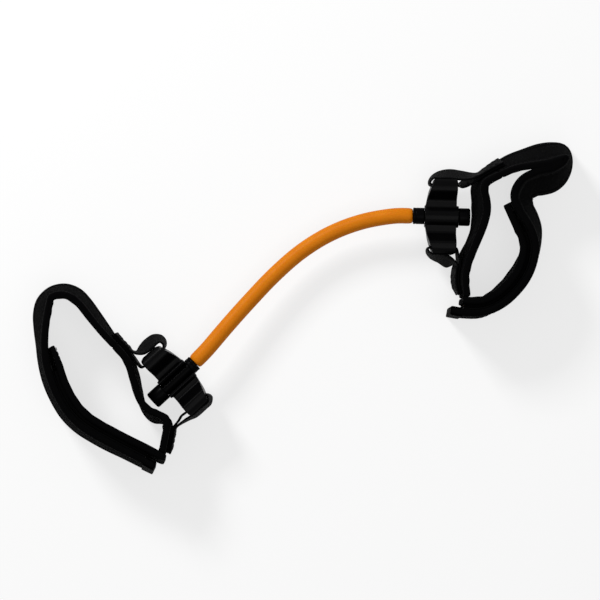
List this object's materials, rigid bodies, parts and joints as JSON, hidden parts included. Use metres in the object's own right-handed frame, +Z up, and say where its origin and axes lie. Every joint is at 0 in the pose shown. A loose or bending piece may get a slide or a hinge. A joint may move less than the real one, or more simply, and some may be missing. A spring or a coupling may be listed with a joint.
{
  "type": "leg resistance band",
  "caption": "Leg resistance band: an orange latex tube between two padded hook-and-loop cuffs, each joined through a moulded bracket and a swivelling connector.",
  "frame": {"origin": "centre of the bottom of the object's box, on the surface it lies on", "axes": "+X from the left cuff to the right cuff as the picture shows them, +Y towards the picture's top, +Z up, away from the surface"},
  "size_m": [0.3848, 0.2364, 0.05],
  "materials": {
    "orange_latex": "semi-matte",
    "moulded_black_plastic": "semi-gloss",
    "connector_plastic": "semi-gloss",
    "padded_strap_fabric": "matt woven",
    "nylon_webbing": "matt woven",
    "hook_tape": "matt",
    "loop_tape": "napped"
  },
  "bodies": {
    "left_cuff": {"left_bracket": "moulded_black_plastic", "left_upper_webbing_loop": "nylon_webbing", "left_lower_webbing_loop": "nylon_webbing", "left_outer_strap": "padded_strap_fabric", "left_back_band": "padded_strap_fabric", "left_inner_strap": "padded_strap_fabric", "left_loop_tape": "loop_tape"},
    "left_flap": {"left_closing_flap": "padded_strap_fabric", "left_hook_tape": "hook_tape", "left_flap_binding": "padded_strap_fabric"},
    "left_coupling": {"left_connector": "connector_plastic"},
    "right_cuff": {"right_bracket": "moulded_black_plastic", "right_upper_webbing_loop": "nylon_webbing", "right_lower_webbing_loop": "nylon_webbing", "right_outer_strap": "padded_strap_fabric", "right_back_band": "padded_strap_fabric", "right_inner_strap": "padded_strap_fabric", "right_loop_tape": "loop_tape"},
    "right_flap": {"right_closing_flap": "padded_strap_fabric", "right_hook_tape": "hook_tape", "right_flap_binding": "padded_strap_fabric"},
    "right_coupling": {"right_connector": "connector_plastic"},
    "tube_assembly": {"resistance_tube": "orange_latex", "left_tube_fitting": "connector_plastic", "right_tube_fitting": "connector_plastic"}
  },
  "joints": [
    {"name": "left_flap_peel", "type": "hinge", "parent": "left_cuff", "child": "left_flap", "pos_m": [-0.19105, -0.02549, 0.025], "axis": [0, 0, -1], "range_deg": [0, 80]},
    {"name": "left_release", "type": "slide", "parent": "left_cuff", "child": "left_coupling", "axis": [0, 0, 1], "range_m": [0, 0.03]},
    {"name": "left_swivel", "type": "hinge", "parent": "left_coupling", "child": "tube_assembly", "pos_m": [-0.09684, -0.05617, 0.025], "axis": [0.7373, 0.6756, 0], "continuous": true},
    {"name": "right_swivel", "type": "hinge", "parent": "tube_assembly", "child": "right_coupling", "pos_m": [0.10646, 0.06583, 0.025], "axis": [-0.9997, 0.0262, 0], "continuous": true},
    {"name": "right_release", "type": "slide", "parent": "right_coupling", "child": "right_cuff", "axis": [0, 0, 1], "range_m": [0, 0.03]},
    {"name": "right_flap_peel", "type": "hinge", "parent": "right_cuff", "child": "right_flap", "pos_m": [0.16346, 0.07656, 0.025], "axis": [0, 0, 1], "range_deg": [0, 60]}
  ]
}
